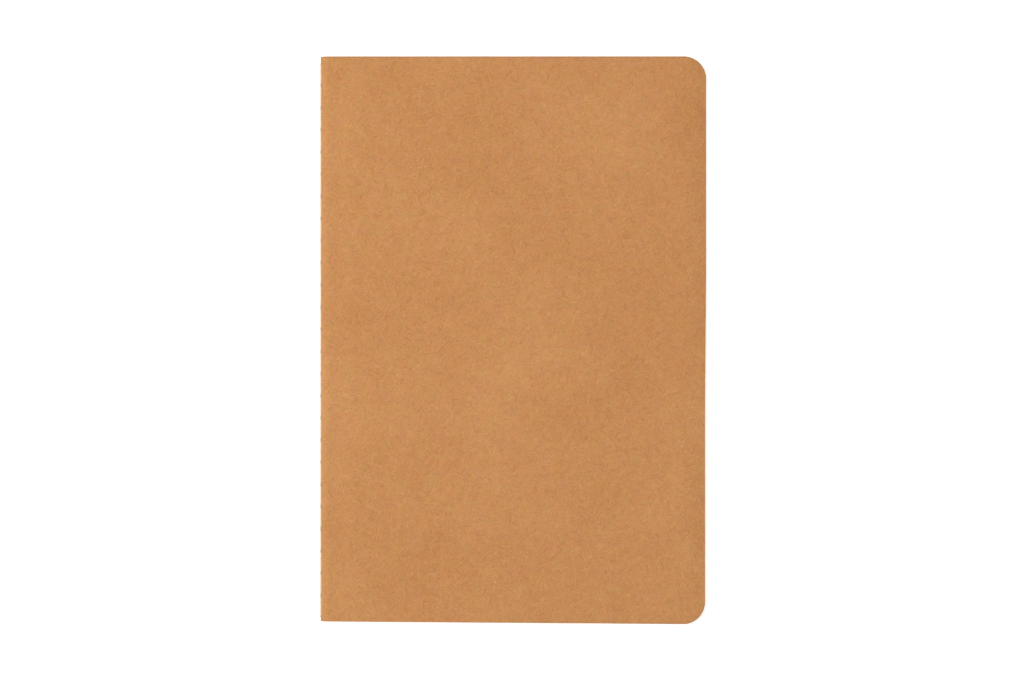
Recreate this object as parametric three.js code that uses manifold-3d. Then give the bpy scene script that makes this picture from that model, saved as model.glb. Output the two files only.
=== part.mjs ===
// Pocket notebook: a kraft card cover and sixteen folded sheets, sewn together through the fold.
// Millimetres. X runs from the spine to the fore-edge, Y runs along the spine to the head, Z is up.
// The closed notebook lies on its back cover, and the origin is the middle of the face it lies on.
import * as THREE from 'three';
import { mergeVertices } from 'three/addons/utils/BufferGeometryUtils.js';
import Module from 'manifold-3d';

const wasm = await Module();
wasm.setup();

// Driving dimensions of the closed notebook
const WIDTH = 95.25;
const HEIGHT = 139.7;
const THICKNESS = 5.4;
const CORNER_RADIUS = 5.5;
const CORNER_STEPS = 5;

// Card, paper and thread
const CARD = 0.32;
const PAPER = 0.09;
const SHEETS = 16;
const THREAD = 0.36;
const THREAD_SIDES = 8;

// The fold: nested half rounds about one centre line, which the leaves leave at the shoulder
const THREAD_CLEARANCE = 0.02;
const THREAD_ORBIT = THICKNESS / 2 - THREAD_CLEARANCE - THREAD / 2;
const COVER_FOLD = 2.14;
const OUTER_SHEET_FOLD = 1.915;
const CENTRE_SHEET_FOLD = 0.3;
const SHOULDER = 0.5;
const FOLD_STEP = Math.PI / 4;

// Past the shoulder the leaves spread from the pinched fold to the loose stack
const SPREAD_END = 6;
const SPREAD_STEPS = 3;
const STACK_PITCH = 0.14875;
const NODE_GAP = 0.02;

// Sewing: one row of holes along the fold, with a stitch between each two
const STITCHES = 25;
const STITCH_LENGTH = 5.46;
const HOLE_LENGTH = 0.5;
const HOLE_HEIGHT = 0.34;
const LEG_LENGTH = 0.26;
const LEG_HEIGHT = 0.24;

const SPINE_X = -WIDTH / 2 + THREAD_ORBIT + THREAD / 2;
const SPINE_Z = THICKNESS / 2;
const FORE_EDGE = WIDTH / 2 - SPINE_X;
const COVER_LEVEL = THICKNESS / 2 - CARD / 2;

const kraft = new THREE.MeshStandardMaterial({ color: 0xc78d59, roughness: 0.85, metalness: 0 });
const paper = new THREE.MeshStandardMaterial({ color: 0xefe8d6, roughness: 0.9, metalness: 0 });
const cotton = new THREE.MeshStandardMaterial({ color: 0xf3f0e8, roughness: 0.8, metalness: 0 });

// The fold radius and the stack level of sheet number n, counted from 1 at the cover to SHEETS at the centre
function sheetFold(n) {
  const inward = (n - 1) / (SHEETS - 1);
  return OUTER_SHEET_FOLD + inward * (CENTRE_SHEET_FOLD - OUTER_SHEET_FOLD);
}

function sheetLevel(n) {
  return (SHEETS - n + 0.5) * STACK_PITCH;
}

// Turns a three.js geometry into a solid that can be cut and joined
function toSolid(geometry) {
  geometry.deleteAttribute('normal');
  geometry.deleteAttribute('uv');
  const merged = mergeVertices(geometry, 1e-5);
  const mesh = new wasm.Mesh({
    numProp: 3,
    vertProperties: new Float32Array(merged.attributes.position.array),
    triVerts: new Uint32Array(merged.index.array),
  });
  return new wasm.Manifold(mesh);
}

function toGeometry(solid) {
  const mesh = solid.getMesh();
  const geometry = new THREE.BufferGeometry();
  geometry.setAttribute('position', new THREE.BufferAttribute(new Float32Array(mesh.vertProperties), 3));
  geometry.setIndex(new THREE.BufferAttribute(new Uint32Array(mesh.triVerts), 1));
  geometry.computeVertexNormals();
  return geometry;
}

// A solid with one section all along the spine. The points are [x, z] from the centre line of the fold.
function alongSpine(points, length) {
  const section = new THREE.Shape(points.map(([x, z]) => new THREE.Vector2(x, z)));
  const geometry = new THREE.ExtrudeGeometry(section, { depth: length, bevelEnabled: false });
  geometry.rotateX(Math.PI / 2);
  geometry.translate(SPINE_X, length / 2, SPINE_Z);
  return toSolid(geometry);
}

// A box centred at height 0 of the fold's centre line, from one X to another
function boxAcross(fromX, toX, y, length, height) {
  const geometry = new THREE.BoxGeometry(toX - fromX, length, height);
  geometry.translate(SPINE_X + (fromX + toX) / 2, y, SPINE_Z);
  return toSolid(geometry);
}

// Everything inside the trimmed outline: square at the spine, rounded at the fore-edge
function trimBlock() {
  const left = -WIDTH / 2 - 1;
  const right = WIDTH / 2;
  const top = HEIGHT / 2;
  const inner = top - CORNER_RADIUS;
  const outline = new THREE.Shape();
  outline.moveTo(left, -top);
  outline.lineTo(right - CORNER_RADIUS, -top);
  outline.absarc(right - CORNER_RADIUS, -inner, CORNER_RADIUS, -Math.PI / 2, 0, false);
  outline.lineTo(right, inner);
  outline.absarc(right - CORNER_RADIUS, inner, CORNER_RADIUS, 0, Math.PI / 2, false);
  outline.lineTo(left, top);
  const block = new THREE.ExtrudeGeometry(outline, {
    depth: THICKNESS + 2,
    bevelEnabled: false,
    curveSegments: CORNER_STEPS,
  });
  block.translate(0, 0, -1);
  return toSolid(block);
}

const trim = trimBlock();

// A flat leaf from the shoulder to the fore-edge. side is 1 above the fold's centre line and -1 below it.
function leafSolid(fold, level, sheet, side) {
  const outer = [];
  const inner = [];
  for (let i = 0; i <= SPREAD_STEPS; i += 1) {
    const t = i / SPREAD_STEPS;
    const spread = t * t * (3 - 2 * t);
    const x = SHOULDER + NODE_GAP + t * (SPREAD_END - SHOULDER - NODE_GAP);
    const z = fold + spread * (level - fold);
    outer.push([x, side * (z + sheet / 2)]);
    inner.push([x, side * (z - sheet / 2)]);
  }
  outer.push([FORE_EDGE, side * (level + sheet / 2)]);
  inner.push([FORE_EDGE, side * (level - sheet / 2)]);
  return alongSpine([...outer, ...inner.reverse()], HEIGHT).intersect(trim);
}

// The line of a fold from its upper shoulder round to its lower one, as five flats that touch the round
function foldLine(radius) {
  const reach = radius / Math.cos(FOLD_STEP / 2);
  const line = [[SHOULDER, radius]];
  for (let i = 0; i < 4; i += 1) {
    const angle = Math.PI / 2 + FOLD_STEP * (i + 0.5);
    line.push([reach * Math.cos(angle), reach * Math.sin(angle)]);
  }
  line.push([SHOULDER, -radius]);
  return line;
}

// The Y of each needle hole, from the tail to the head
const holes = [];
for (let i = 0; i <= STITCHES; i += 1) {
  holes.push((i - STITCHES / 2) * STITCH_LENGTH);
}

// Every needle hole through every fold, as one cutter
function needleCutter() {
  const pins = holes.map((y) => boxAcross(-COVER_FOLD - CARD, 0, y, HOLE_LENGTH, HOLE_HEIGHT));
  return wasm.Manifold.union(pins);
}

const needle = needleCutter();

function foldSolid(radius, sheet) {
  const outer = foldLine(radius + sheet / 2);
  const inner = foldLine(radius - sheet / 2);
  return alongSpine([...outer, ...inner.reverse()], HEIGHT).subtract(needle);
}

// A straight run of thread over all the stitches, at a distance outside the fold's centre line
function threadRun(distance) {
  const section = [];
  for (let i = 0; i < THREAD_SIDES; i += 1) {
    const angle = (2 * Math.PI * i) / THREAD_SIDES;
    section.push([(THREAD / 2) * Math.cos(angle) - distance, (THREAD / 2) * Math.sin(angle)]);
  }
  return alongSpine(section, STITCHES * STITCH_LENGTH + THREAD);
}

// The needle thread: the run outside the spine, with a leg through each hole to the inner thread
function outerThread() {
  const reach = -THREAD / 2 - 2 * NODE_GAP;
  const legs = holes.map((y) => boxAcross(-THREAD_ORBIT, reach, y, LEG_LENGTH, LEG_HEIGHT));
  return wasm.Manifold.union([threadRun(THREAD_ORBIT), ...legs]);
}

const notebook = new THREE.Group();

function addNode(name, solid, material) {
  const mesh = new THREE.Mesh(toGeometry(solid), material);
  mesh.name = name;
  notebook.add(mesh);
}

addNode('back_cover', leafSolid(COVER_FOLD, COVER_LEVEL, CARD, -1), kraft);
addNode('front_cover', leafSolid(COVER_FOLD, COVER_LEVEL, CARD, 1), kraft);
addNode('spine_fold', foldSolid(COVER_FOLD, CARD), kraft);

for (let n = 1; n <= SHEETS; n += 1) {
  const name = `sheet_${String(n).padStart(2, '0')}`;
  addNode(`${name}_back_leaf`, leafSolid(sheetFold(n), sheetLevel(n), PAPER, -1), paper);
  addNode(`${name}_fold`, foldSolid(sheetFold(n), PAPER), paper);
  addNode(`${name}_front_leaf`, leafSolid(sheetFold(n), sheetLevel(n), PAPER, 1), paper);
}

addNode('outer_thread', outerThread(), cotton);
addNode('inner_thread', threadRun(0), cotton);

export default notebook;
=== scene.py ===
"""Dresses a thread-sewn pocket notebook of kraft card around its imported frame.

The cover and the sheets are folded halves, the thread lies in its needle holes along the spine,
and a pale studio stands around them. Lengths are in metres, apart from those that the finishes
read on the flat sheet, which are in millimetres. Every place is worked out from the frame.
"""
from __future__ import annotations

import logging
import math
from dataclasses import dataclass, field
from enum import Enum
from typing import Iterable, Sequence

import bpy
import numpy as np
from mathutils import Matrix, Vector

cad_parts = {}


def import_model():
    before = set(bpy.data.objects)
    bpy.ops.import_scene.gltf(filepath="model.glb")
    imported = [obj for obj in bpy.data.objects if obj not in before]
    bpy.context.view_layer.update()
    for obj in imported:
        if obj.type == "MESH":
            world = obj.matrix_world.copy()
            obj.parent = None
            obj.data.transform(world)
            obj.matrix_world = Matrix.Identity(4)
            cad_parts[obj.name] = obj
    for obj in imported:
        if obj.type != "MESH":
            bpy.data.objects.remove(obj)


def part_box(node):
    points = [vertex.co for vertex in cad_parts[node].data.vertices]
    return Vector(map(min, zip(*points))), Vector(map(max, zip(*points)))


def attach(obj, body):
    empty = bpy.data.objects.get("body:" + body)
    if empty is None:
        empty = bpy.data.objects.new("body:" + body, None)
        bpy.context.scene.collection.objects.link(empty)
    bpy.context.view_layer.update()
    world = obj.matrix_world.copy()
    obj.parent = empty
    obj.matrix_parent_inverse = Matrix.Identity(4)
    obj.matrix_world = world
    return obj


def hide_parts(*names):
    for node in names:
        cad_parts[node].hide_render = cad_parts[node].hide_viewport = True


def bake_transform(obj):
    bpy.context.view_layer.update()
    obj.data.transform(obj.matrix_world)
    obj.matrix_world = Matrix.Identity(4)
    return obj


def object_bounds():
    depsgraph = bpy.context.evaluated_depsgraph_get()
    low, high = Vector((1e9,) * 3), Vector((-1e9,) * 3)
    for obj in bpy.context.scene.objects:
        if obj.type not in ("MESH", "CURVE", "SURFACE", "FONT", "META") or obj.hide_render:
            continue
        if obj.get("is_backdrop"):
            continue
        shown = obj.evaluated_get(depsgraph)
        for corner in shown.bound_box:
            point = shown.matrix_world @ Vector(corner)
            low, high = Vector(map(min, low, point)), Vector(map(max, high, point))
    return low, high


log = logging.getLogger("notebook")

MM = 0.001
SAME_PLACE = 1e-7
HAIRLINE = 1e-6
FLAT_MAP = "flat_sheet"
MAP_SPAN = 400 * MM
# Mask of painted shade, with some grime, in and round each needle hole, on the cover and the thread.
HOLE_SHADE_AND_GRIME = "hole_shade_and_grime"

Colour = tuple[float, float, float, float]
Socket = bpy.types.NodeSocket


class Side(Enum):
    """The half of a folded sheet: above the middle of the closed notebook or below it."""

    FRONT = 1
    BACK = -1


class Blend(Enum):
    """How one colour is laid over another."""

    OVER = "MIX"
    MULTIPLY = "MULTIPLY"


def tone(red: int, green: int, blue: int) -> Colour:
    """Turn a screen colour into the linear colour that shaders use.

    Args:
        red: Red, from 11 to 255.
        green: Green, from 11 to 255.
        blue: Blue, from 11 to 255.

    Returns:
        The linear colour with full opacity.
    """
    shares = [value / 255 for value in (red, green, blue)]
    linear = [((share + 0.055) / 1.055) ** 2.4 for share in shares]
    return (linear[0], linear[1], linear[2], 1.0)


# ---------------------------------------------------------------------------- hand work


class Bench:
    """The steps of hand work that the pieces share: pick, select, cut, copy, modify and join."""

    @staticmethod
    def clear() -> None:
        """Leave edit mode and deselect everything."""
        if bpy.context.object is not None and bpy.context.object.mode != "OBJECT":
            bpy.ops.object.mode_set(mode="OBJECT")
        bpy.ops.object.select_all(action="DESELECT")

    @staticmethod
    def pick(piece: bpy.types.Object) -> None:
        """Select one piece alone and make it the active one.

        Args:
            piece: The piece.
        """
        Bench.clear()
        piece.select_set(True)
        bpy.context.view_layer.objects.active = piece

    @staticmethod
    def places(piece: bpy.types.Object) -> np.ndarray:
        """Read the places of a piece's vertices.

        Args:
            piece: The mesh to read.

        Returns:
            One row for each vertex.
        """
        flat = np.zeros(len(piece.data.vertices) * 3)
        piece.data.vertices.foreach_get("co", flat)
        return flat.reshape(-1, 3)

    @staticmethod
    def put(piece: bpy.types.Object, places: np.ndarray) -> None:
        """Write the places of a piece's vertices back."""
        piece.data.vertices.foreach_set("co", places.ravel())
        piece.data.update()

    @staticmethod
    def select_points(piece: bpy.types.Object, chosen: np.ndarray) -> None:
        """Select vertices, and the edges and faces between them, then enter edit mode.

        Args:
            piece: The mesh to select on.
            chosen: One truth value for each vertex.
        """
        Bench.pick(piece)
        bpy.ops.object.mode_set(mode="EDIT")
        bpy.ops.mesh.select_mode(type="VERT")
        bpy.ops.mesh.select_all(action="DESELECT")
        bpy.ops.object.mode_set(mode="OBJECT")
        piece.data.vertices.foreach_set("select", chosen)
        bpy.ops.object.mode_set(mode="EDIT")
        bpy.ops.mesh.select_mode(type="VERT")

    @staticmethod
    def cut(point: Sequence[float], normal: Sequence[float], drop: bool = False) -> None:
        """Cut the mesh in edit mode by a plane.

        Args:
            point: A point on the plane.
            normal: The plane's normal.
            drop: Whether what lies on the normal's side is cut away.
        """
        bpy.ops.mesh.select_all(action="SELECT")
        bpy.ops.mesh.bisect(
            plane_co=point, plane_no=normal, clear_outer=drop, threshold=SAME_PLACE)

    @staticmethod
    def apply_place(piece: bpy.types.Object) -> None:
        """Move a piece's place, turn and scale into its mesh."""
        Bench.pick(piece)
        bpy.ops.object.transform_apply(location=True, rotation=True, scale=True)

    @staticmethod
    def copy(piece: bpy.types.Object, name: str) -> bpy.types.Object:
        """Copy a piece, with a mesh of its own.

        Args:
            piece: The piece to copy.
            name: The copy's name.

        Returns:
            The copy.
        """
        twin = piece.copy()
        twin.data = piece.data.copy()
        twin.name = name
        twin.data.name = name
        bpy.context.scene.collection.objects.link(twin)
        return twin

    @staticmethod
    def modify(piece: bpy.types.Object, kind: str, **settings: object) -> None:
        """Add a modifier to a piece and apply it.

        Args:
            piece: The piece to work on.
            kind: The kind of modifier.
            **settings: The modifier's settings by name.
        """
        Bench.pick(piece)
        bpy.ops.object.modifier_add(type=kind)
        modifier = piece.modifiers[-1]
        for key, value in settings.items():
            setattr(modifier, key, value)
        bpy.ops.object.modifier_apply(modifier=modifier.name)

    @staticmethod
    def join(pieces: Iterable[bpy.types.Object], name: str) -> bpy.types.Object:
        """Join pieces into one.

        Args:
            pieces: The pieces, of which the first stays.
            name: The name of the whole.

        Returns:
            The whole.
        """
        parts = list(pieces)
        Bench.pick(parts[0])
        for part in parts[1:]:
            part.select_set(True)
        if len(parts) > 1:
            bpy.ops.object.join()
        whole = bpy.context.object
        whole.name = name
        whole.data.name = name
        return whole

    @staticmethod
    def smooth(piece: bpy.types.Object, angle: float = math.radians(35)) -> None:
        """Shade a piece smooth, apart from edges sharper than the angle."""
        Bench.pick(piece)
        bpy.ops.object.shade_smooth_by_angle(angle=angle)

    @staticmethod
    def remove(piece: bpy.types.Object) -> None:
        """Delete a helper piece."""
        Bench.pick(piece)
        bpy.ops.object.delete()


# ---------------------------------------------------------------------------- finishes


class NodeBoard:
    """A short hand for laying out one material's nodes."""

    def __init__(self, name: str) -> None:
        """Start an empty node material with one shader.

        Args:
            name: The material's name.
        """
        self.material = bpy.data.materials.new(name)
        self.material.use_nodes = True
        self.tree = self.material.node_tree
        self.tree.nodes.clear()
        self.shader = self.tree.nodes.new("ShaderNodeBsdfPrincipled")
        output = self.tree.nodes.new("ShaderNodeOutputMaterial")
        self.join(self.shader.outputs["BSDF"], output.inputs["Surface"])

    def join(self, source: Socket, target: Socket) -> None:
        """Link one socket to another."""
        self.tree.links.new(source, target)

    def feed(self, target: Socket, value: object) -> None:
        """Link a socket, or set a plain value, on another socket.

        Args:
            target: The socket that takes the value.
            value: A socket or a plain value.
        """
        if isinstance(value, bpy.types.NodeSocket):
            self.join(value, target)
        else:
            target.default_value = value

    def flat_place(self) -> Socket:
        """Read the place on the flat sheet.

        Returns:
            A vector socket, in millimetres from the sheet's middle.
        """
        source = self.tree.nodes.new("ShaderNodeUVMap")
        source.uv_map = FLAT_MAP
        unit = MM / MAP_SPAN
        return self.laid(source.outputs["UV"], stretch=(unit, unit, 1.0), shift=(0.5, 0.5, 0.0))

    def laid(self, place: Socket, turn: float = 0.0,
             stretch: Sequence[float] = (1.0, 1.0, 1.0),
             shift: Sequence[float] = (0.0, 0.0, 0.0)) -> Socket:
        """Work out the place to read a pattern at, once it is stretched, turned and shifted.

        Args:
            place: The place on the piece.
            turn: The turn of the pattern in the sheet.
            stretch: How much longer the pattern gets along each axis.
            shift: Where the pattern's origin is moved to.

        Returns:
            A vector socket.
        """
        node = self.tree.nodes.new("ShaderNodeMapping")
        node.vector_type = "TEXTURE"
        node.inputs["Rotation"].default_value = (0.0, 0.0, turn)
        node.inputs["Scale"].default_value = stretch
        node.inputs["Location"].default_value = shift
        self.join(place, node.inputs["Vector"])
        return node.outputs["Vector"]

    def noise(self, place: Socket, scale: float, detail: float = 2.0, rough: float = 0.5,
              warp: float = 0.0) -> Socket:
        """Lay a cloudy value about one half.

        Args:
            place: The vector to read.
            scale: Clouds for each unit of the vector.
            detail: Finer octaves on top.
            rough: The strength of the finer octaves.
            warp: How far the clouds are stirred.

        Returns:
            A value socket.
        """
        node = self.tree.nodes.new("ShaderNodeTexNoise")
        node.inputs["Scale"].default_value = scale
        node.inputs["Detail"].default_value = detail
        node.inputs["Roughness"].default_value = rough
        node.inputs["Distortion"].default_value = warp
        self.join(place, node.inputs["Vector"])
        return node.outputs["Fac"]

    def cells(self, place: Socket, scale: float) -> tuple[Socket, Socket]:
        """Scatter points.

        Args:
            place: The vector to read.
            scale: Points for each unit of the vector.

        Returns:
            The distance to the nearest point, and a random colour for each point.
        """
        node = self.tree.nodes.new("ShaderNodeTexVoronoi")
        node.inputs["Scale"].default_value = scale
        self.join(place, node.inputs["Vector"])
        return node.outputs["Distance"], node.outputs["Color"]

    def sums(self, operation: str, first: object, second: object) -> Socket:
        """Work out a sum, product or other arithmetic of two values.

        Args:
            operation: The arithmetic.
            first: A socket or a number.
            second: A socket or a number.

        Returns:
            A value socket.
        """
        node = self.tree.nodes.new("ShaderNodeMath")
        node.operation = operation
        self.feed(node.inputs[0], first)
        self.feed(node.inputs[1], second)
        return node.outputs["Value"]

    def spread(self, value: Socket, low: float, high: float, to_low: float = 0.0,
               to_high: float = 1.0) -> Socket:
        """Carry a value smoothly from one range to another.

        Args:
            value: The value.
            low: Where the range starts.
            high: Where the range ends.
            to_low: What the start becomes.
            to_high: What the end becomes.

        Returns:
            A value socket.
        """
        node = self.tree.nodes.new("ShaderNodeMapRange")
        node.interpolation_type = "SMOOTHSTEP"
        node.inputs["From Min"].default_value = low
        node.inputs["From Max"].default_value = high
        node.inputs["To Min"].default_value = to_low
        node.inputs["To Max"].default_value = to_high
        self.join(value, node.inputs["Value"])
        return node.outputs["Result"]

    def vector(self, operation: str, first: Socket, second: Sequence[float] = (0, 0, 0),
               output: str = "Vector") -> Socket:
        """Work out the arithmetic of a vector and a constant one.

        Args:
            operation: The arithmetic.
            first: The vector.
            second: The constant.
            output: The name of the result's socket.

        Returns:
            A vector socket, or a value socket where output says so.
        """
        node = self.tree.nodes.new("ShaderNodeVectorMath")
        node.operation = operation
        self.join(first, node.inputs[0])
        node.inputs[1].default_value = second
        return node.outputs[output]

    def edge_band(self, place: Socket, half_size: Sequence[float], corner: float,
                 reach: float) -> Socket:
        """Mask the trimmed edge of a flat sheet with rounded corners.

        Args:
            place: The place on the flat sheet in millimetres from its middle.
            half_size: Half the sheet's length and height in millimetres.
            corner: The radius of its corners in millimetres.
            reach: How far in from the edge the mask reaches in millimetres.

        Returns:
            A value socket, 1 at the edge.
        """
        inner = (half_size[0] - corner, half_size[1] - corner, 0.0)
        past = self.vector("SUBTRACT", self.vector("ABSOLUTE", place), inner)
        past = self.vector("MULTIPLY", self.vector("MAXIMUM", past), (1, 1, 0))
        away = self.vector("LENGTH", past, output="Value")
        return self.spread(away, corner - reach, corner)

    def mix(self, share: object, first: object, second: object,
            blend: Blend = Blend.OVER) -> Socket:
        """Mix two colours.

        Args:
            share: How much of the second is laid over the first.
            first: A socket or a colour.
            second: A socket or a colour.
            blend: How the second is laid over the first.

        Returns:
            A colour socket.
        """
        node = self.tree.nodes.new("ShaderNodeMix")
        node.data_type = "RGBA"
        node.blend_type = blend.value
        self.feed(node.inputs["Factor"], share)
        self.feed(node.inputs[6], first)
        self.feed(node.inputs[7], second)
        return node.outputs[2]

    def mark(self, name: str) -> Socket:
        """Read a value stored on the piece's own vertices.

        Args:
            name: The name it is stored under.

        Returns:
            A value socket.
        """
        node = self.tree.nodes.new("ShaderNodeAttribute")
        node.attribute_name = name
        return node.outputs["Fac"]

    def bump(self, height: Socket, depth: float, strength: float = 1.0) -> None:
        """Raise the shader's surface by a pattern.

        Args:
            height: The pattern.
            depth: How high its 1 stands, in metres.
            strength: The share of that height that shows.
        """
        node = self.tree.nodes.new("ShaderNodeBump")
        node.inputs["Strength"].default_value = strength
        node.inputs["Distance"].default_value = depth
        self.join(height, node.inputs["Height"])
        self.join(node.outputs["Normal"], self.shader.inputs["Normal"])

    def surface(self, colour: object, roughness: object, specular: float) -> bpy.types.Material:
        """Set the shader's colour, roughness and gloss.

        Args:
            colour: A socket or a colour.
            roughness: A socket or a number.
            specular: The strength of the gloss.

        Returns:
            The finished material.
        """
        self.feed(self.shader.inputs["Base Color"], colour)
        self.feed(self.shader.inputs["Roughness"], roughness)
        self.shader.inputs["Specular IOR Level"].default_value = specular
        return self.material


@dataclass(frozen=True)
class KraftCard:
    """Uncoated brown kraft card: grain, soft clouds, hair-like fibres, specks and flecks.

    A weight says how strongly a pattern moves the colour between dark and pale, and a share says
    how much of a mark's own colour shows.
    """

    half_size: tuple[float, float]
    corner: float
    dark: Colour = tone(168, 107, 54)
    pale: Colour = tone(210, 155, 102)
    hue_change: tuple[float, float, float] = (0.25, 0.36, 0.55)
    fibre_dark: Colour = tone(140, 88, 46)
    fibre_pale: Colour = tone(228, 180, 128)
    speck: Colour = tone(112, 70, 38)
    # Painted shade, with some grime, round a needle hole.
    hole: Colour = tone(88, 66, 46)
    cut: Colour = tone(150, 100, 56)
    # A darker tone in a narrow band along the trimmed edge.
    edge_band_tone: Colour = tone(163, 116, 74)
    drift_weight: float = 0.36
    cloud_weight: float = 0.2
    mottle_weight: float = 0.1
    grain_weight: float = 0.58
    fibre_turns: tuple[float, ...] = (0.15, 0.8, 1.35, 2.0, 2.65)
    fibre_size: tuple[float, float, float] = (3.6, 0.42, 1.0)
    hair_faint: float = 0.06
    hair_full: float = 0.02
    dark_share: float = 0.26
    pale_share: float = 0.18
    speck_share: float = 0.5
    chip_share: float = 0.45
    edge_band_reach: float = 0.45
    edge_band_share: float = 0.75
    relief_depth: float = 0.03 * MM
    edge_depth: float = 0.02 * MM
    roughness: float = 0.82
    specular: float = 0.2

    def ground(self, board: NodeBoard, place: Socket) -> tuple[Socket, Socket]:
        """Lay the card's clouds, grain and slight changes of hue.

        Args:
            board: The material's nodes.
            place: The place on the flat sheet in millimetres.

        Returns:
            The mixed colour and the grain, for the bump.
        """
        drift = board.noise(place, 0.03, 1.0, 0.5)
        clouds = board.noise(board.laid(place, 0.4, shift=(31, 7, 0)), 0.13, 3.0, 0.5, 0.4)
        mottle = board.noise(board.laid(place, 1.1, shift=(3, 55, 0)), 0.6, 2.0, 0.6)
        grain = board.noise(board.laid(place, 0.7, shift=(11, 19, 0)), 2.1, 3.0, 0.7)
        share: object = 0.5
        for value, weight in (
            (drift, self.drift_weight),
            (clouds, self.cloud_weight),
            (mottle, self.mottle_weight),
            (grain, self.grain_weight),
        ):
            part = board.sums("MULTIPLY", board.sums("SUBTRACT", value, 0.5), weight)
            share = board.sums("ADD", part, share)
        colour = board.mix(share, self.dark, self.pale)
        hue = board.noise(board.laid(place, 0.9, shift=(71, 23, 0)), 0.45, 4.0, 0.75)
        change = board.vector("SUBTRACT", hue.node.outputs["Color"], (0.5, 0.5, 0.5))
        tint = board.vector("ADD", board.vector("MULTIPLY", change, self.hue_change), (1, 1, 1))
        return board.mix(1.0, colour, tint, Blend.MULTIPLY), grain

    def fibres(self, board: NodeBoard, place: Socket) -> tuple[Socket, Socket]:
        """Scatter hair-like fibres in several directions.

        Args:
            board: The material's nodes.
            place: The place on the flat sheet in millimetres.

        Returns:
            The dark fibres and the pale ones, as two masks.
        """
        dark: object = 0.0
        pale: object = 0.0
        for count, turn in enumerate(self.fibre_turns):
            lane = board.laid(place, turn, self.fibre_size, (17.0 * count, 5.0 * count, 0.0))
            wave = board.noise(lane, 1.0, 1.0, 0.5, 0.4)
            patch = board.noise(board.laid(lane, shift=(40, 12, 0)), 1.2, 0.0)
            dark_hair = self.hair(board, wave, 0.5)
            dark_hair = board.sums("MULTIPLY", dark_hair, board.spread(patch, 0.6, 0.68))
            pale_hair = self.hair(board, wave, 0.45)
            pale_hair = board.sums("MULTIPLY", pale_hair, board.spread(patch, 0.38, 0.3))
            dark = board.sums("MAXIMUM", dark_hair, dark)
            pale = board.sums("MAXIMUM", pale_hair, pale)
        return dark, pale

    def hair(self, board: NodeBoard, wave: Socket, level: float) -> Socket:
        """Return a thin line where a wave crosses a level."""
        off = board.sums("ABSOLUTE", board.sums("SUBTRACT", wave, level), 0.0)
        return board.spread(off, self.hair_faint, self.hair_full)

    def flecks(self, board: NodeBoard, place: Socket, scale: float, size: float,
               rarity: float) -> Socket:
        """Scatter small flecks.

        Args:
            board: The material's nodes.
            place: The place on the flat sheet in millimetres.
            scale: Cells for each millimetre.
            size: A fleck's radius as a share of a cell.
            rarity: The share of cells that stay empty.

        Returns:
            A mask.
        """
        distance, colour = board.cells(place, scale)
        split = board.tree.nodes.new("ShaderNodeSeparateColor")
        board.join(colour, split.inputs["Color"])
        here = board.spread(split.outputs["Red"], rarity, min(1.0, rarity + 0.05))
        spot = board.spread(distance, size, size * 0.45)
        return board.sums("MULTIPLY", here, spot)

    def face(self) -> bpy.types.Material:
        """Lay out the card's face.

        Returns:
            The material.
        """
        board = NodeBoard("kraft_card_face")
        place = board.flat_place()
        colour, grain = self.ground(board, place)
        dark, pale = self.fibres(board, place)
        colour = board.mix(board.sums("MULTIPLY", dark, self.dark_share), colour, self.fibre_dark)
        colour = board.mix(board.sums("MULTIPLY", pale, self.pale_share), colour, self.fibre_pale)
        stirred = board.laid(place, 0.3, (1.0, 0.6, 1.0), (9, 2, 0))
        specks = self.flecks(board, stirred, 0.42, 0.1, 0.7)
        colour = board.mix(board.sums("MULTIPLY", specks, self.speck_share), colour, self.speck)
        bright = board.laid(place, 1.9, (0.7, 1.0, 1.0), (4, 41, 0))
        chips = self.flecks(board, bright, 0.5, 0.11, 0.75)
        colour = board.mix(board.sums("MULTIPLY", chips, self.chip_share), colour, self.fibre_pale)
        # Darker in a narrow band along the trimmed edge.
        edge_mask = board.edge_band(place, self.half_size, self.corner, self.edge_band_reach)
        colour = board.mix(board.sums("MULTIPLY", edge_mask, self.edge_band_share), colour, self.edge_band_tone)
        # Painted shade, with some grime: darker round each needle hole, where the hole lies in
        # shade.
        colour = board.mix(board.mark(HOLE_SHADE_AND_GRIME), colour, self.hole)
        relief = board.sums("ADD", grain, board.sums("MULTIPLY", pale, 0.25))
        relief = board.sums("SUBTRACT", relief, board.sums("MULTIPLY", dark, 0.2))
        board.bump(relief, self.relief_depth, 0.5)
        rough = board.spread(grain, 0.3, 0.7, self.roughness - 0.05, self.roughness + 0.07)
        return board.surface(colour, rough, self.specular)

    def cut_edge(self) -> bpy.types.Material:
        """Lay out the card's trimmed edge: darker, with the fibres cut across.

        Returns:
            The material.
        """
        board = NodeBoard("kraft_card_cut_edge")
        place = board.flat_place()
        fine = board.noise(place, 5.0, 2.0, 0.6)
        colour = board.mix(board.spread(fine, 0.3, 0.7), self.cut, self.dark)
        board.bump(fine, self.edge_depth, 0.6)
        return board.surface(colour, self.roughness, self.specular)


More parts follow.
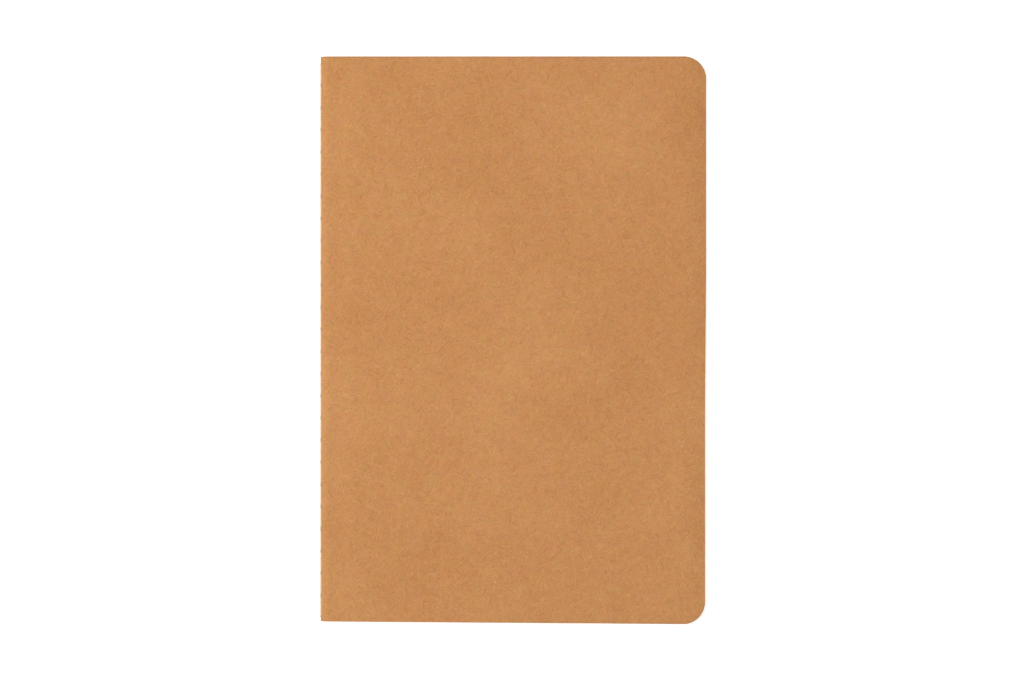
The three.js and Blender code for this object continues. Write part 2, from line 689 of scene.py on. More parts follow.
@dataclass(frozen=True)
class WritingPaper:
    """Uncoated cream writing paper with faint ruled lines."""

    sheet: Colour = tone(241, 235, 220)
    shade: Colour = tone(236, 229, 211)
    cut: Colour = tone(244, 231, 206)
    ink: Colour = tone(150, 165, 178)
    line_pitch: float = 6.35
    line_width: float = 0.16
    first_line: float = 54.0
    foot_margin: float = -62.0
    ink_share: float = 0.6
    tooth_depth: float = 0.008 * MM
    edge_depth: float = 0.01 * MM
    roughness: float = 0.88
    specular: float = 0.15

    def ruling(self, board: NodeBoard, place: Socket) -> Socket:
        """Mask the ruled lines across the sheet, between its head and foot margins.

        Args:
            board: The material's nodes.
            place: The place on the flat sheet in millimetres.

        Returns:
            A mask.
        """
        split = board.tree.nodes.new("ShaderNodeSeparateXYZ")
        board.join(place, split.inputs["Vector"])
        height = split.outputs["Y"]
        step = board.sums("PINGPONG", board.sums("SUBTRACT", height, self.first_line),
                          self.line_pitch / 2)
        line = board.spread(step, self.line_width, self.line_width * 0.4)
        below_head = board.sums("LESS_THAN", height, self.first_line + self.line_width)
        above_foot = board.sums("GREATER_THAN", height, self.foot_margin)
        return board.sums("MULTIPLY", line, board.sums("MULTIPLY", below_head, above_foot))

    def face(self) -> bpy.types.Material:
        """Lay out the paper's face.

        Returns:
            The material.
        """
        board = NodeBoard("writing_paper_face")
        place = board.flat_place()
        clouds = board.noise(place, 0.5, 3.0, 0.6)
        tooth = board.noise(board.laid(place, 0.5, shift=(8, 3, 0)), 6.0, 2.0, 0.6)
        colour = board.mix(clouds, self.sheet, self.shade)
        ink = board.sums("MULTIPLY", self.ruling(board, place), self.ink_share)
        colour = board.mix(ink, colour, self.ink)
        board.bump(tooth, self.tooth_depth, 0.4)
        rough = board.spread(tooth, 0.3, 0.7, self.roughness - 0.04, self.roughness + 0.05)
        return board.surface(colour, rough, self.specular)

    def cut_edge(self) -> bpy.types.Material:
        """Lay out the paper's trimmed edge.

        Returns:
            The material.
        """
        board = NodeBoard("writing_paper_cut_edge")
        fine = board.noise(board.flat_place(), 3.0, 2.0, 0.6)
        colour = board.mix(board.spread(fine, 0.3, 0.7), self.cut, self.shade)
        board.bump(fine, self.edge_depth, 0.5)
        return board.surface(colour, self.roughness, self.specular)


@dataclass(frozen=True)
class SewingThread:
    """Off-white sewing thread of twisted yarn, with a soft sheen."""

    # Painted light on the yarn's raised places and painted shade in its furrows.
    lit: Colour = tone(246, 241, 228)
    furrow_shade: Colour = tone(222, 212, 190)
    # Painted shade, with some grime, of the thread down in a needle hole.
    thread_shade_and_grime: Colour = tone(118, 108, 94)
    yarn_size: tuple[float, float, float] = (0.5, 2.0, 0.5)
    yarn_depth: float = 0.008 * MM
    roughness: float = 0.62
    specular: float = 0.3
    sheen: float = 0.25

    def face(self) -> bpy.types.Material:
        """Lay out the thread's surface.

        Returns:
            The material.
        """
        board = NodeBoard("sewing_thread_yarn")
        source = board.tree.nodes.new("ShaderNodeTexCoord")
        place = board.laid(source.outputs["Object"], stretch=(MM, MM, MM))
        yarn = board.noise(board.laid(place, stretch=self.yarn_size), 6.0, 2.0, 0.6, 0.3)
        # Painted light and shade: the raised places of the yarn's bump take the lit tone, its
        # furrows the shaded one.
        colour = board.mix(board.spread(yarn, 0.35, 0.65), self.furrow_shade, self.lit)
        # Painted shade with some grime: the thread darkens where it goes down into a hole.
        colour = board.mix(board.mark(HOLE_SHADE_AND_GRIME), colour, self.thread_shade_and_grime)
        board.bump(yarn, self.yarn_depth, 0.5)
        board.shader.inputs["Sheen Weight"].default_value = self.sheen
        return board.surface(colour, self.roughness, self.specular)


@dataclass(frozen=True)
class StudioPaper:
    """The seamless white paper that the notebook lies on, lit a little from beneath."""

    white: Colour = tone(254, 254, 254)
    shade: Colour = tone(252, 252, 252)
    glow: float = 0.3
    cloud_scale: float = 30.0
    roughness: float = 0.9
    specular: float = 0.1

    def face(self) -> bpy.types.Material:
        """Lay out the floor's surface.

        Returns:
            The material.
        """
        board = NodeBoard("studio_paper")
        source = board.tree.nodes.new("ShaderNodeTexCoord")
        soft = board.noise(source.outputs["Object"], self.cloud_scale)
        colour = board.mix(board.spread(soft, 0.3, 0.7), self.white, self.shade)
        board.shader.inputs["Emission Color"].default_value = self.white
        board.shader.inputs["Emission Strength"].default_value = self.glow
        return board.surface(colour, self.roughness, self.specular)


# ---------------------------------------------------------------------------- the notebook


@dataclass
class Binding:
    """The sizes that cover, sheets and thread share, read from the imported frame."""

    spine_x: float
    spine_z: float
    fore_edge: float
    half_height: float
    holes: list[float]
    corner_radius: float = 5.5 * MM
    spread_end: float = 6.0 * MM
    past_last_hole: float = 0.7 * MM

    @classmethod
    def from_frame(cls, stitches: int = 25) -> Binding:
        """Read the binding from the frame.

        Args:
            stitches: The number of stitches between the end holes.

        Returns:
            The binding's sizes.
        """
        low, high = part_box("inner_thread")
        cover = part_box("front_cover")[1]
        thread = high.z - low.z
        last = high.y - thread / 2
        step = 2 * last / stitches
        return cls(
            spine_x=(low.x + high.x) / 2,
            spine_z=(low.z + high.z) / 2,
            fore_edge=cover.x,
            half_height=cover.y,
            holes=[-last + step * i for i in range(stitches + 1)],
        )

    def rows(self, beside: Sequence[float]) -> list[float]:
        """Set out rows across the spine, close together at every needle hole.

        Args:
            beside: The distances from a hole at which rows lie, on both its sides.

        Returns:
            The places of the rows along the spine, from the tail to the head.
        """
        rows = [(before + after) / 2 for before, after in zip(self.holes, self.holes[1:])]
        for hole in self.holes:
            rows += [hole + way * gap for gap in beside for way in (-1, 1)]
        last = self.holes[-1] + self.past_last_hole
        kept = {round(y, 7) for y in rows if abs(y) < last}
        return sorted(kept | {-self.half_height, self.half_height})

    def to_hole(self, places: np.ndarray) -> np.ndarray:
        """Return how far each place is from the nearest needle hole, along the spine."""
        return np.min(np.abs(places[:, 1][:, None] - np.array(self.holes)[None, :]), axis=1)

    def fold_radius(self, node: str, thickness: float) -> float:
        """Return the middle radius of a fold node of that thickness."""
        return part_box(node)[1].z - self.spine_z - thickness / 2

    def stack_level(self, node: str, radius: float, thickness: float) -> float:
        """Return how far above the middle a front leaf's flat lies.

        Args:
            node: The front leaf's node.
            radius: The middle radius of its fold.
            thickness: The leaf's thickness.

        Returns:
            The height of the leaf's middle above the fold's centre line.
        """
        low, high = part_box(node)
        top = high.z - self.spine_z - thickness / 2
        if top > radius + HAIRLINE:
            return top
        return low.z - self.spine_z + thickness / 2


@dataclass
class LeafPattern:
    """One flat leaf, cut and trimmed once, that every half sheet is copied from.

    It lies with its spine edge on the fold's centre line. Its height is a share: 0 at the spine
    edge and 1 from the end of the spread, so a copy is scaled to its own rise. The tail is trimmed
    a little out of square, so that the spine edge is the shorter one.
    """

    binding: Binding
    columns: int
    rows: list[float]
    spread_cuts: int = 8
    corner_cuts: int = 8
    tail_skew: float = 0.65 * MM
    shortest_edge: float = 0.08 * MM

    def build(self) -> bpy.types.Object:
        """Cut the leaf.

        Returns:
            A flat sheet with its rise as a share.
        """
        binding = self.binding
        length = binding.fore_edge - binding.spine_x
        Bench.clear()
        bpy.ops.mesh.primitive_grid_add(
            x_subdivisions=self.columns,
            y_subdivisions=len(self.rows) - 1,
            size=1,
            location=(binding.spine_x + length / 2, 0, 0),
        )
        leaf = bpy.context.object
        leaf.scale = (length, 1, 1)
        Bench.apply_place(leaf)
        places = Bench.places(leaf)
        row = np.rint((places[:, 1] + 0.5) * (len(self.rows) - 1)).astype(int)
        places[:, 1] = np.array(self.rows)[row]
        at_tail = places[:, 1] < -binding.half_height + HAIRLINE
        towards_spine = (binding.fore_edge - places[:, 0]) / length
        places[:, 1] += at_tail * self.tail_skew * towards_spine
        Bench.put(leaf, places)
        bpy.ops.object.mode_set(mode="EDIT")
        for i in range(1, self.spread_cuts + 1):
            x = binding.spine_x + binding.spread_end * i / self.spread_cuts
            Bench.cut((x, 0, 0), (1, 0, 0))
        self.trim_corners()
        bpy.ops.mesh.select_all(action="SELECT")
        bpy.ops.mesh.remove_doubles(threshold=self.shortest_edge)
        bpy.ops.object.mode_set(mode="OBJECT")
        places = Bench.places(leaf)
        share = np.clip((places[:, 0] - binding.spine_x) / binding.spread_end, 0, 1)
        places[:, 2] = share * share * (3 - 2 * share)
        Bench.put(leaf, places)
        return leaf

    def trim_corners(self) -> None:
        """Trim both fore-edge corners round, by cuts that touch the corner's circle."""
        binding = self.binding
        radius = binding.corner_radius
        for end in (-1, 1):
            centre = (binding.fore_edge - radius, end * (binding.half_height - radius))
            for i in range(1, self.corner_cuts + 1):
                angle = math.pi / 2 * i / (self.corner_cuts + 1)
                normal = (math.cos(angle), end * math.sin(angle), 0)
                point = (centre[0] + radius * normal[0], centre[1] + radius * normal[1], 0)
                Bench.cut(point, normal, drop=True)


@dataclass
class HalfSheet:
    """Half of a folded sheet, from the outermost line of its fold to its fore-edge.

    A wave has its size, its pace along the spine and its start.
    """

    name: str
    binding: Binding
    side: Side
    radius: float
    level: float
    thickness: float
    fold_steps: int
    curl: float = 0.0
    ripple: float = 0.0
    ripple_pace: float = 4.2
    phase: float = 0.0
    shift: float = 0.0
    curl_mean: float = 0.55
    long_wave: tuple[float, float, float] = (0.3, 2.1, 0.7)
    short_wave: tuple[float, float, float] = (0.15, 5.3, -1.1)
    trim_head: float = 0.15 * MM
    trim_taper: float = 0.25 * MM
    taper_start: float = 0.3
    taper_length: float = 0.6
    meeting_share: float = 0.4

    def build(self, pattern: bpy.types.Object) -> bpy.types.Object:
        """Copy the leaf, spin its fold and give it its thickness.

        Args:
            pattern: The leaf that every half sheet is copied from.

        Returns:
            A closed sheet.
        """
        side = self.side.value
        piece = Bench.copy(pattern, self.name)
        piece.scale = (1, 1, side * (self.level - self.radius))
        piece.location = (0, 0, self.binding.spine_z + side * self.radius)
        Bench.apply_place(piece)
        self.settle(piece)
        self.spin_fold(piece)
        self.lay_flat_map(piece)
        Bench.modify(piece, "SOLIDIFY", thickness=self.thickness, offset=0.0,
                     material_offset_rim=1, use_even_offset=True)
        self.true_meeting_line(piece)
        self.face_out(piece)
        return piece

    def settle(self, piece: bpy.types.Object) -> None:
        """Let the leaf curl a little off the stack towards its fore-edge, and trim it there.

        Args:
            piece: The flat leaf.
        """
        binding = self.binding
        places = Bench.places(piece)
        across = places[:, 0] - binding.spine_x - binding.spread_end
        across = np.clip(across / (binding.fore_edge - binding.spine_x), 0, 1)
        along = places[:, 1] / binding.half_height
        size, pace, start = self.long_wave
        wave = self.curl_mean + size * np.sin(pace * along + start)
        size, pace, start = self.short_wave
        wave = wave + size * np.cos(pace * along + start)
        places[:, 2] += self.curl * across ** 1.5 * wave
        ripple = np.sin(self.ripple_pace * along + self.phase)
        places[:, 2] += self.ripple * np.clip(5 * across, 0, 1) * ripple
        to_tail = np.clip((self.taper_start - along) / self.taper_length, 0, 1)
        trim = self.trim_head + self.trim_taper * to_tail * to_tail * (3 - 2 * to_tail)
        places[:, 0] += (self.shift - trim) * across
        Bench.put(piece, places)

    def spin_fold(self, piece: bpy.types.Object) -> None:
        """Spin the spine edge a quarter turn about the fold's centre line.

        Args:
            piece: The leaf.
        """
        binding = self.binding
        places = Bench.places(piece)
        Bench.select_points(piece, places[:, 0] < binding.spine_x + HAIRLINE)
        bpy.ops.mesh.spin(
            steps=self.fold_steps,
            angle=self.side.value * math.pi / 2,
            center=(binding.spine_x, 0, binding.spine_z),
            axis=(0, 1, 0),
        )
        bpy.ops.mesh.select_all(action="SELECT")
        bpy.ops.mesh.remove_doubles(threshold=SAME_PLACE)
        bpy.ops.mesh.normals_make_consistent(inside=False)
        bpy.ops.object.mode_set(mode="OBJECT")

    def lay_flat_map(self, piece: bpy.types.Object) -> None:
        """Map each point to its place on the sheet before it was folded.

        Args:
            piece: The folded leaf, before it has its thickness.
        """
        binding = self.binding
        places = Bench.places(piece)
        reach = places[:, 0] - binding.spine_x
        lift = self.side.value * (places[:, 2] - binding.spine_z)
        angle = np.arctan2(lift, -reach)
        unrolled = np.where(reach < 0, self.radius * angle, self.radius * math.pi / 2 + reach)
        across = 0.5 + self.side.value * unrolled / MAP_SPAN
        along = 0.5 + places[:, 1] / MAP_SPAN
        layer = piece.data.uv_layers.active or piece.data.uv_layers.new(name=FLAT_MAP)
        layer.name = FLAT_MAP
        corners = np.zeros(len(piece.data.loops), int)
        piece.data.loops.foreach_get("vertex_index", corners)
        layer.uv.foreach_set("vector", np.stack([across, along], 1)[corners].ravel())

    def true_meeting_line(self, piece: bpy.types.Object) -> None:
        """Square up the end of the fold, so that the two halves meet without a gap.

        Args:
            piece: The folded leaf with its thickness.
        """
        binding = self.binding
        places = Bench.places(piece)
        reach = binding.spine_x - places[:, 0]
        ring = (self.radius - self.thickness / 2) * math.sin(math.pi / 2 / self.fold_steps)
        low = np.abs(places[:, 2] - binding.spine_z) < self.meeting_share * ring
        outer = low & (reach > self.radius)
        inner = low & (reach > 0) & (reach <= self.radius)
        places[outer, 0] = binding.spine_x - self.radius - self.thickness / 2
        places[inner, 0] = binding.spine_x - self.radius + self.thickness / 2
        places[outer | inner, 2] = binding.spine_z
        Bench.put(piece, places)

    @staticmethod
    def face_out(piece: bpy.types.Object) -> None:
        """Turn every face of the closed sheet outwards.

        Args:
            piece: The folded leaf with its thickness.
        """
        Bench.pick(piece)
        bpy.ops.object.mode_set(mode="EDIT")
        bpy.ops.mesh.select_all(action="SELECT")
        bpy.ops.mesh.normals_make_consistent(inside=False)
        bpy.ops.object.mode_set(mode="OBJECT")

    def bend(self, piece: bpy.types.Object) -> None:
        """Move the half sheet's place, turn and scale into its mesh.

        Args:
            piece: The finished half sheet.
        """
        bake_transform(piece)


@dataclass
class Needle:
    """The row of needle holes, punched through every fold."""

    binding: Binding
    depth: float = 3.2 * MM
    sides: int = 10

    def build(self, name: str, radius: float) -> bpy.types.Object:
        """Make one cutter for the whole row.

        Args:
            name: The cutter's name.
            radius: The radius of a hole.

        Returns:
            The cutter.
        """
        pins = []
        Bench.clear()
        for y in self.binding.holes:
            bpy.ops.mesh.primitive_cylinder_add(
                vertices=self.sides,
                radius=radius,
                depth=self.depth,
                location=(self.binding.spine_x - self.depth / 2, y, self.binding.spine_z),
                rotation=(0, math.pi / 2, 0),
            )
            pins.append(bpy.context.object)
        cutter = Bench.join(pins, name)
        Bench.apply_place(cutter)
        return cutter

    @staticmethod
    def punch(piece: bpy.types.Object, cutter: bpy.types.Object) -> None:
        """Cut the holes out of a piece, and tidy the points and many-sided faces it leaves.

        Args:
            piece: The piece to cut.
            cutter: The row of pins.
        """
        Bench.modify(piece, "BOOLEAN", operation="DIFFERENCE", solver="EXACT", object=cutter)
        Bench.pick(piece)
        bpy.ops.object.mode_set(mode="EDIT")
        bpy.ops.mesh.select_all(action="SELECT")
        bpy.ops.mesh.remove_doubles(threshold=HAIRLINE)
        bpy.ops.object.mode_set(mode="OBJECT")
        Bench.modify(piece, "TRIANGULATE", ngon_method="BEAUTY", min_vertices=5)


@dataclass
class Cover:
    """The kraft card cover, pinched by the stitches along its fold."""

    binding: Binding
    card: float = 0.32 * MM
    hole_radius: float = 0.22 * MM
    # How far the painted shade round a needle hole reaches.
    rim_shade_reach: float = 0.44 * MM
    lip_height: float = 0.06 * MM
    lip_reach: float = 0.28 * MM
    end_swell: float = 0.15 * MM
    swell_before: float = 0.6 * MM
    swell_length: float = 1.2 * MM
    spring: float = 0.25 * MM
    edge_wear: float = 0.05 * MM
    fold_depth: float = 1.5 * MM
    row_gaps: tuple[float, ...] = (0.0, 0.12, 0.25, 0.4, 0.6, 0.9, 1.3)

    def build(self) -> list[bpy.types.Object]:
        """Model and dress both halves of the cover.

        Returns:
            The front half and the back half.
        """
        binding = self.binding
        radius = binding.fold_radius("spine_fold", self.card)
        level = binding.stack_level("front_cover", radius, self.card)
        rows = binding.rows([gap * MM for gap in self.row_gaps])
        pattern = LeafPattern(binding, columns=14, rows=rows).build()
        cutter = Needle(binding).build("cover_needle", self.hole_radius)
        unrolled = radius * math.pi / 2 + binding.fore_edge - binding.spine_x
        finish = KraftCard(
            half_size=(unrolled / MM, binding.half_height / MM),
            corner=binding.corner_radius / MM,
        )
        face = finish.face()
        cut_edge = finish.cut_edge()
        halves = []
        for side in Side:
            name = f"kraft_cover_{side.name.lower()}"
            half = HalfSheet(
                name, binding, side, radius, level, self.card, fold_steps=24,
                curl=self.spring if side is Side.FRONT else 0.0,
            )
            piece = half.build(pattern)
            self.soften_edges(piece)
            self.press_stitches(piece)
            Needle.punch(piece, cutter)
            self.paint_hole_shade(piece)
            piece.data.materials.clear()
            piece.data.materials.append(face)
            piece.data.materials.append(cut_edge)
            Bench.smooth(piece)
            half.bend(piece)
            halves.append(piece)
        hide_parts("front_cover", "spine_fold")
        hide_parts("back_cover")
        Bench.remove(pattern)
        Bench.remove(cutter)
        return halves

    def soften_edges(self, piece: bpy.types.Object) -> None:
        """Take the sharpness off the trimmed edges, but not off the line where the halves meet.

        Args:
            piece: Half of the cover.
        """
        Bench.pick(piece)
        bpy.ops.object.mode_set(mode="EDIT")
        bpy.ops.mesh.select_mode(type="EDGE")
        bpy.ops.mesh.select_all(action="DESELECT")
        bpy.ops.mesh.edges_select_sharp(sharpness=math.radians(60))
        bpy.ops.object.mode_set(mode="OBJECT")
        mesh = piece.data
        places = Bench.places(piece)
        at_spine = places[:, 0] < self.binding.spine_x - 1.0 * MM
        at_middle = np.abs(places[:, 2] - self.binding.spine_z) < HAIRLINE
        meeting = at_spine & at_middle
        for edge in mesh.edges:
            if edge.select and meeting[edge.vertices[0]] and meeting[edge.vertices[1]]:
                edge.select = False
        bpy.ops.object.mode_set(mode="EDIT")
        bpy.ops.mesh.select_mode(type="EDGE")
        bpy.ops.mesh.bevel(offset=self.edge_wear, segments=2, affect="EDGES", material=1,
                           clamp_overlap=True)
        bpy.ops.object.mode_set(mode="OBJECT")

    def press_stitches(self, piece: bpy.types.Object) -> None:
        """Swell the fold at its ends and raise a lip round each needle hole.

        Args:
            piece: Half of the cover.
        """
        binding = self.binding
        places = Bench.places(piece)
        x = places[:, 0] - binding.spine_x
        z = places[:, 2] - binding.spine_z
        y = places[:, 1]
        reach = np.maximum(np.hypot(x, z), 1e-9)
        on_fold = np.clip(-x / reach, 0, 1) ** 3
        past = np.clip((np.abs(y) - binding.holes[-1] + self.swell_before) / self.swell_length, 0, 1)
        swell = self.end_swell * past * past * (3 - 2 * past)
        from_hole = np.hypot(binding.to_hole(places), z)
        lip = self.lip_height * np.exp(-0.5 * (from_hole / self.lip_reach) ** 2)
        outwards = on_fold * (swell + np.where(x < 0, lip, 0))
        places[:, 0] += x / reach * outwards
        places[:, 2] += z / reach * outwards
        Bench.put(piece, places)

    def paint_hole_shade(self, piece: bpy.types.Object) -> None:
        """Store how close each point is to a needle hole, for the painted shade, with some grime,
        round its rim.

        Args:
            piece: Half of the cover.
        """
        binding = self.binding
        places = Bench.places(piece)
        from_hole = np.hypot(binding.to_hole(places), places[:, 2] - binding.spine_z)
        # Painted shade: full at the hole's rim, fading out to the reach.
        mark = np.clip((self.rim_shade_reach - from_hole) / (self.rim_shade_reach - self.hole_radius), 0, 1)
        mark[places[:, 0] > binding.spine_x - self.fold_depth] = 0
        layer = piece.data.attributes.new(HOLE_SHADE_AND_GRIME, "FLOAT", "POINT")
        layer.data.foreach_set("value", mark.astype(np.float32))


@dataclass
class Sheets:
    """The folded sheets of writing paper, nested in the cover."""

    binding: Binding
    count: int = 16
    paper: float = 0.09 * MM
    hole_radius: float = 0.2 * MM
    curl: float = 0.25 * MM
    ripple: float = 0.024 * MM
    slip: float = 0.12 * MM
    seed: int = 16
    finish: WritingPaper = field(default_factory=WritingPaper)

    def build(self) -> list[bpy.types.Object]:
        """Model and dress both halves of every sheet.

        Returns:
            The half sheets.
        """
        binding = self.binding
        rows = binding.rows([0.0])
        pattern = LeafPattern(binding, columns=8, rows=rows, spread_cuts=6).build()
        cutter = Needle(binding, sides=8).build("sheet_needle", self.hole_radius)
        face = self.finish.face()
        cut_edge = self.finish.cut_edge()
        draw = np.random.default_rng(self.seed)
        halves = []
        for number in range(1, self.count + 1):
            node = f"sheet_{number:02d}"
            radius = binding.fold_radius(f"{node}_fold", self.paper)
            level = binding.stack_level(f"{node}_front_leaf", radius, self.paper)
            for side in Side:
                word = side.name.lower()
                height = 0.5 + side.value * level / binding.spine_z / 2
                half = HalfSheet(
                    f"{node}_{word}_page", binding, side, radius, level, self.paper,
                    fold_steps=10, curl=self.curl * height, ripple=self.ripple,
                    phase=2 * math.pi * draw.random(), shift=-self.slip * draw.random(),
                )
                piece = half.build(pattern)
                Needle.punch(piece, cutter)
                piece.data.materials.clear()
                piece.data.materials.append(face)
                piece.data.materials.append(cut_edge)
                Bench.smooth(piece)
                half.bend(piece)
                replaced = [f"{node}_{word}_leaf"]
                if side is Side.FRONT:
                    replaced.append(f"{node}_fold")
                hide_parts(*replaced)
                halves.append(piece)
        Bench.remove(pattern)
        Bench.remove(cutter)
        return halves


@dataclass
class Sewing:
    """The lockstitch: an outer thread that dives into every hole, and an inner one it loops."""

    binding: Binding
    thread: float = 0.36 * MM
    plies: int = 3
    twist_pitch: float = 1.15 * MM
    outside: float = 2.5 * MM
    dive: float = 0.24 * MM
    leg_gap: float = 0.1 * MM
    in_hole: float = 0.56
    loop_radius: float = 0.23 * MM
    loop_start: float = 25.0
    loop_turn: float = 310.0
    pinch_reach: float = 0.3 * MM
    pinch_pull: float = 0.04 * MM
    pinch_squeeze: float = 0.22
    ply_share: float = 0.29
    step: float = 0.11 * MM
    # How far along and how deep the thread's painted shade, with some grime, reaches at a hole.
    thread_shade_reach: float = 0.4 * MM
    thread_shade_depth: float = 0.15 * MM
    fold_depth: float = 1.2 * MM
    finish: SewingThread = field(default_factory=SewingThread)

    def build(self) -> list[bpy.types.Object]:
        """Model and dress both threads.

        Returns:
            The outer thread and the inner thread.
        """
        face = self.finish.face()
        threads = []
        for name, node, route in (
            ("outer_sewing_thread", "outer_thread", self.outer_route()),
            ("inner_sewing_thread", "inner_thread", self.inner_route()),
        ):
            piece = self.twisted(name, self.evenly(route))
            self.paint_hole_shade(piece)
            piece.data.materials.clear()
            piece.data.materials.append(face)
            Bench.smooth(piece, math.radians(60))
            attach(piece, "spine")
            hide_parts(node)
            threads.append(piece)
        return threads

    def outer_route(self) -> np.ndarray:
        """Work out the outer thread's route from the tail to the head.

        Returns:
            Rows of place along the spine, distance outside the centre line, height and width.
        """
        holes = self.binding.holes
        rows: list[tuple[float, float, float, float]] = []
        for hole in holes:
            if hole > holes[0]:
                rows += self.dive_arc(hole, -1)
            rows += self.loop(hole)
            if hole < holes[-1]:
                rows += self.dive_arc(hole, 1)[::-1]
        return np.array(rows)

    def dive_arc(self, hole: float, way: int) -> list[tuple[float, float, float, float]]:
        """Round the end of a stitch from the outside of the fold into its hole.

        Args:
            hole: The hole's place along the spine.
            way: -1 for the stitch before the hole and 1 for the one after it.

        Returns:
            Rows of a route, from the outside inwards.
        """
        rows = []
        for i in range(7):
            angle = math.pi / 2 * i / 6
            y = hole + way * (self.leg_gap + self.dive * (1 - math.sin(angle)))
            out = self.outside - self.dive * (1 - math.cos(angle))
            rows.append((y, out, 0.0, 1 - (1 - self.in_hole) * (i / 6) ** 2))
        return rows

    def loop(self, hole: float) -> list[tuple[float, float, float, float]]:
        """Take the thread down its hole, round the inner thread and up again.

        Args:
            hole: The hole's place along the spine.

        Returns:
            Rows of a route.
        """
        down = self.outside - 2 * self.dive
        rows = [(hole - self.leg_gap, down, 0.0, self.in_hole)]
        for i in range(13):
            share = i / 12
            angle = math.radians(self.loop_start + self.loop_turn * share)
            y = hole + self.leg_gap * (2 * share - 1)
            out = self.loop_radius * math.cos(angle)
            rows.append((y, out, self.loop_radius * math.sin(angle), self.in_hole))
        rows.append((hole + self.leg_gap, down, 0.0, self.in_hole))
        return rows

    def inner_route(self) -> np.ndarray:
        """Work out the inner thread's route: straight, and pulled a little into every hole.

        Returns:
            Rows of place along the spine, distance outside the centre line, height and width.
        """
        holes = np.array(self.binding.holes)
        last = self.binding.holes[-1] + self.thread
        along = np.linspace(-last, last, 1500)
        nearest = np.min(np.abs(along[:, None] - holes[None, :]), axis=1)
        pinch = np.exp(-((nearest / self.pinch_reach) ** 2))
        level = np.zeros_like(along)
        width = 1 - self.pinch_squeeze * pinch
        return np.stack([along, self.pinch_pull * pinch, level, width], 1)

    def evenly(self, route: np.ndarray) -> np.ndarray:
        """Space a route's rows evenly along it.

        Args:
            route: Rows of a route.

        Returns:
            Rows of the same route.
        """
        legs = np.linalg.norm(np.diff(route[:, :3], axis=0), axis=1)
        along = np.concatenate([[0.0], np.cumsum(legs)])
        marks = np.linspace(0, along[-1], int(along[-1] / self.step) + 2)
        return np.stack([np.interp(marks, along, column) for column in route.T], 1)

    def twisted(self, name: str, route: np.ndarray) -> bpy.types.Object:
        """Lay the thread's plies round a route, twisted about each other.

        Args:
            name: The piece's name.
            route: Rows of place along the spine, distance outside, height and width.

        Returns:
            A mesh of closed plies.
        """
        binding = self.binding
        middle = [Vector((binding.spine_x - out, y, binding.spine_z + up))
                  for y, out, up, _ in route]
        widths = route[:, 3]
        sides = self.sideways(middle)
        curve = bpy.data.curves.new(name, "CURVE")
        curve.dimensions = "3D"
        curve.bevel_depth = self.thread * self.ply_share
        curve.bevel_resolution = 1
        curve.use_fill_caps = True
        offset = self.thread / 2 - curve.bevel_depth
        for ply in range(self.plies):
            spline = curve.splines.new("POLY")
            spline.points.add(len(middle) - 1)
            for i, (point, (side, up)) in enumerate(zip(middle, sides)):
                turn = 2 * math.pi * (i * self.step / self.twist_pitch + ply / self.plies)
                away = side * math.cos(turn) + up * math.sin(turn)
                spline.points[i].co = (*(point + away * offset * widths[i]), 1.0)
                spline.points[i].radius = widths[i]
        piece = bpy.data.objects.new(name, curve)
        bpy.context.scene.collection.objects.link(piece)
        Bench.pick(piece)
        bpy.ops.object.convert(target="MESH")
        piece = bpy.context.object
        bpy.ops.object.mode_set(mode="EDIT")
        bpy.ops.mesh.select_all(action="SELECT")
        bpy.ops.mesh.remove_doubles(threshold=1e-8)
        bpy.ops.mesh.normals_make_consistent(inside=False)
        bpy.ops.object.mode_set(mode="OBJECT")
        log.info("%s is %.1f mm long", name, self.step * (len(middle) - 1) / MM)
        return piece

    @staticmethod
    def sideways(middle: list[Vector]) -> list[tuple[Vector, Vector]]:
        """Carry two directions square to a route along it with the least turning.

        Args:
            middle: The route's points.

        Returns:
            Two directions for each point.
        """
        side = Vector((0, 0, 1))
        pairs = []
        for i, point in enumerate(middle):
            before = middle[max(i - 1, 0)]
            after = middle[min(i + 1, len(middle) - 1)]
            ahead = (after - before).normalized()
            side = (side - ahead * side.dot(ahead)).normalized()
            pairs.append((side.copy(), ahead.cross(side)))
        return pairs

    def paint_hole_shade(self, piece: bpy.types.Object) -> None:
        """Store how deep each point lies in its needle hole, where the thread takes painted shade
        with some grime.

        Args:
            piece: A thread.
        """
        places = Bench.places(piece)
        depth = self.outside - (self.binding.spine_x - places[:, 0])
        near = np.clip(1 - self.binding.to_hole(places) / self.thread_shade_reach, 0, 1)
        # Painted shade with some grime, deepest down in the hole.
        mark = near * np.clip(depth / self.thread_shade_depth + 1.1, 0, 1)
        mark[places[:, 0] > self.binding.spine_x - self.fold_depth] = 0
        layer = piece.data.attributes.new(HOLE_SHADE_AND_GRIME, "FLOAT", "POINT")
        layer.data.foreach_set("value", mark.astype(np.float32))


# ---------------------------------------------------------------------------- the studio


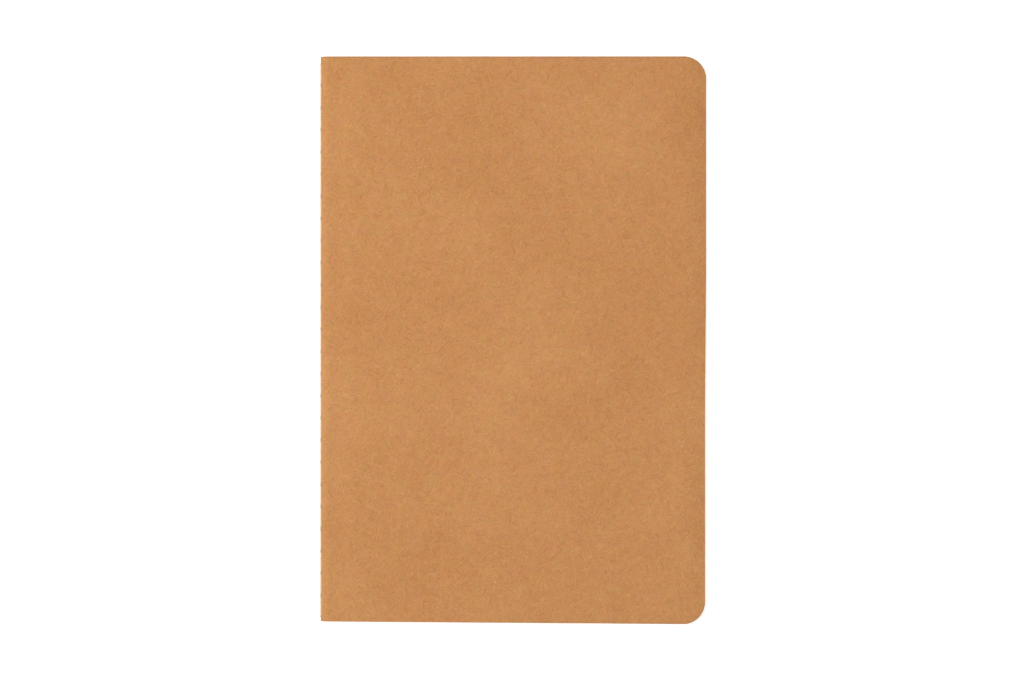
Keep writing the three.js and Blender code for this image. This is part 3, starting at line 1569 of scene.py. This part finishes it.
@dataclass
class Studio:
    """White seamless paper, a soft lamp, an even light overhead and a long lens straight above."""

    middle: Vector
    top: float
    view_width: float = 251.9 * MM
    distance: float = 1.8
    aside: Vector = field(default_factory=lambda: Vector((-0.25 * MM, -0.3 * MM, 0)))
    sensor: float = 36.0
    floor_size: float = 6.0
    key_place: Vector = field(default_factory=lambda: Vector((-0.3, 0.1, 0.6)))
    key_size: float = 0.5
    key_watts: float = 2.75
    overhead_strength: float = 1.17
    overhead_angle: float = math.radians(15)
    horizon: float = 0.92
    zenith: float = 0.2

    def build(self) -> None:
        """Lay the floor and set the lamps, the surround and the camera."""
        self.floor()
        self.key_lamp()
        self.overhead_light()
        self.surround()
        self.camera()

    def floor(self) -> None:
        """Lay the seamless paper."""
        Bench.clear()
        bpy.ops.mesh.primitive_grid_add(x_subdivisions=8, y_subdivisions=8, size=self.floor_size)
        floor = bpy.context.object
        floor.name = "studio_floor"
        floor.data.materials.append(StudioPaper().face())
        floor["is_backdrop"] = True

    def key_lamp(self) -> None:
        """Hang a soft square lamp at the spine's side, facing the notebook."""
        Bench.clear()
        bpy.ops.object.light_add(type="AREA", location=self.key_place)
        lamp = bpy.context.object
        lamp.name = "key_lamp"
        lamp.data.size = self.key_size
        lamp.data.energy = self.key_watts
        lamp.rotation_euler = (self.middle - self.key_place).to_track_quat("-Z", "Y").to_euler()

    def overhead_light(self) -> None:
        """Light the whole floor evenly from straight above."""
        Bench.clear()
        bpy.ops.object.light_add(type="SUN", location=(0, 0, 2.4), rotation=(0, 0, 0))
        sun = bpy.context.object
        sun.name = "overhead_light"
        sun.data.energy = self.overhead_strength
        sun.data.angle = self.overhead_angle

    def surround(self) -> None:
        """Light the studio from all round: bright low down and dimmer overhead."""
        world = bpy.data.worlds.new("studio_surround")
        world.use_nodes = True
        tree = world.node_tree
        background = tree.nodes["Background"]
        background.inputs["Color"].default_value = (1.0, 1.0, 1.0, 1.0)
        direction = tree.nodes.new("ShaderNodeTexCoord")
        split = tree.nodes.new("ShaderNodeSeparateXYZ")
        dimming = tree.nodes.new("ShaderNodeMapRange")
        dimming.interpolation_type = "SMOOTHSTEP"
        dimming.inputs["From Min"].default_value = 0.1
        dimming.inputs["From Max"].default_value = 0.5
        dimming.inputs["To Min"].default_value = self.horizon
        dimming.inputs["To Max"].default_value = self.zenith
        tree.links.new(direction.outputs["Generated"], split.inputs["Vector"])
        tree.links.new(split.outputs["Z"], dimming.inputs["Value"])
        tree.links.new(dimming.outputs["Result"], background.inputs["Strength"])
        bpy.context.scene.world = world
        bpy.context.scene.view_settings.view_transform = "Standard"

    def camera(self) -> None:
        """Hang the camera straight above with its lens fitted to the view's width."""
        Bench.clear()
        place = self.middle + self.aside + Vector((0, 0, self.top + self.distance))
        bpy.ops.object.camera_add(location=place, rotation=(0, 0, 0))
        camera = bpy.context.object
        camera.name = "overhead_camera"
        camera.data.sensor_width = self.sensor
        camera.data.lens = self.sensor * self.distance / self.view_width
        camera.data.clip_start = 0.05
        camera.data.clip_end = 20
        bpy.context.scene.camera = camera


def report(pieces: Iterable[bpy.types.Object]) -> None:
    """Log each piece with its number of faces.

    Args:
        pieces: The finished pieces.
    """
    for piece in pieces:
        log.info("%s: %d faces", piece.name, len(piece.data.polygons))


def main() -> None:
    """Load the frame and build the notebook and its studio."""
    logging.basicConfig(level=logging.INFO, format="%(message)s")
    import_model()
    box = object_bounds()
    low, high = box
    binding = Binding.from_frame()
    middle = Vector(((low[0] + high[0]) / 2, (low[1] + high[1]) / 2, 0))
    Studio(middle=middle, top=high[2]).build()
    report(Cover(binding).build())
    report(Sheets(binding).build())
    report(Sewing(binding).build())


if __name__ == "__main__":
    main()
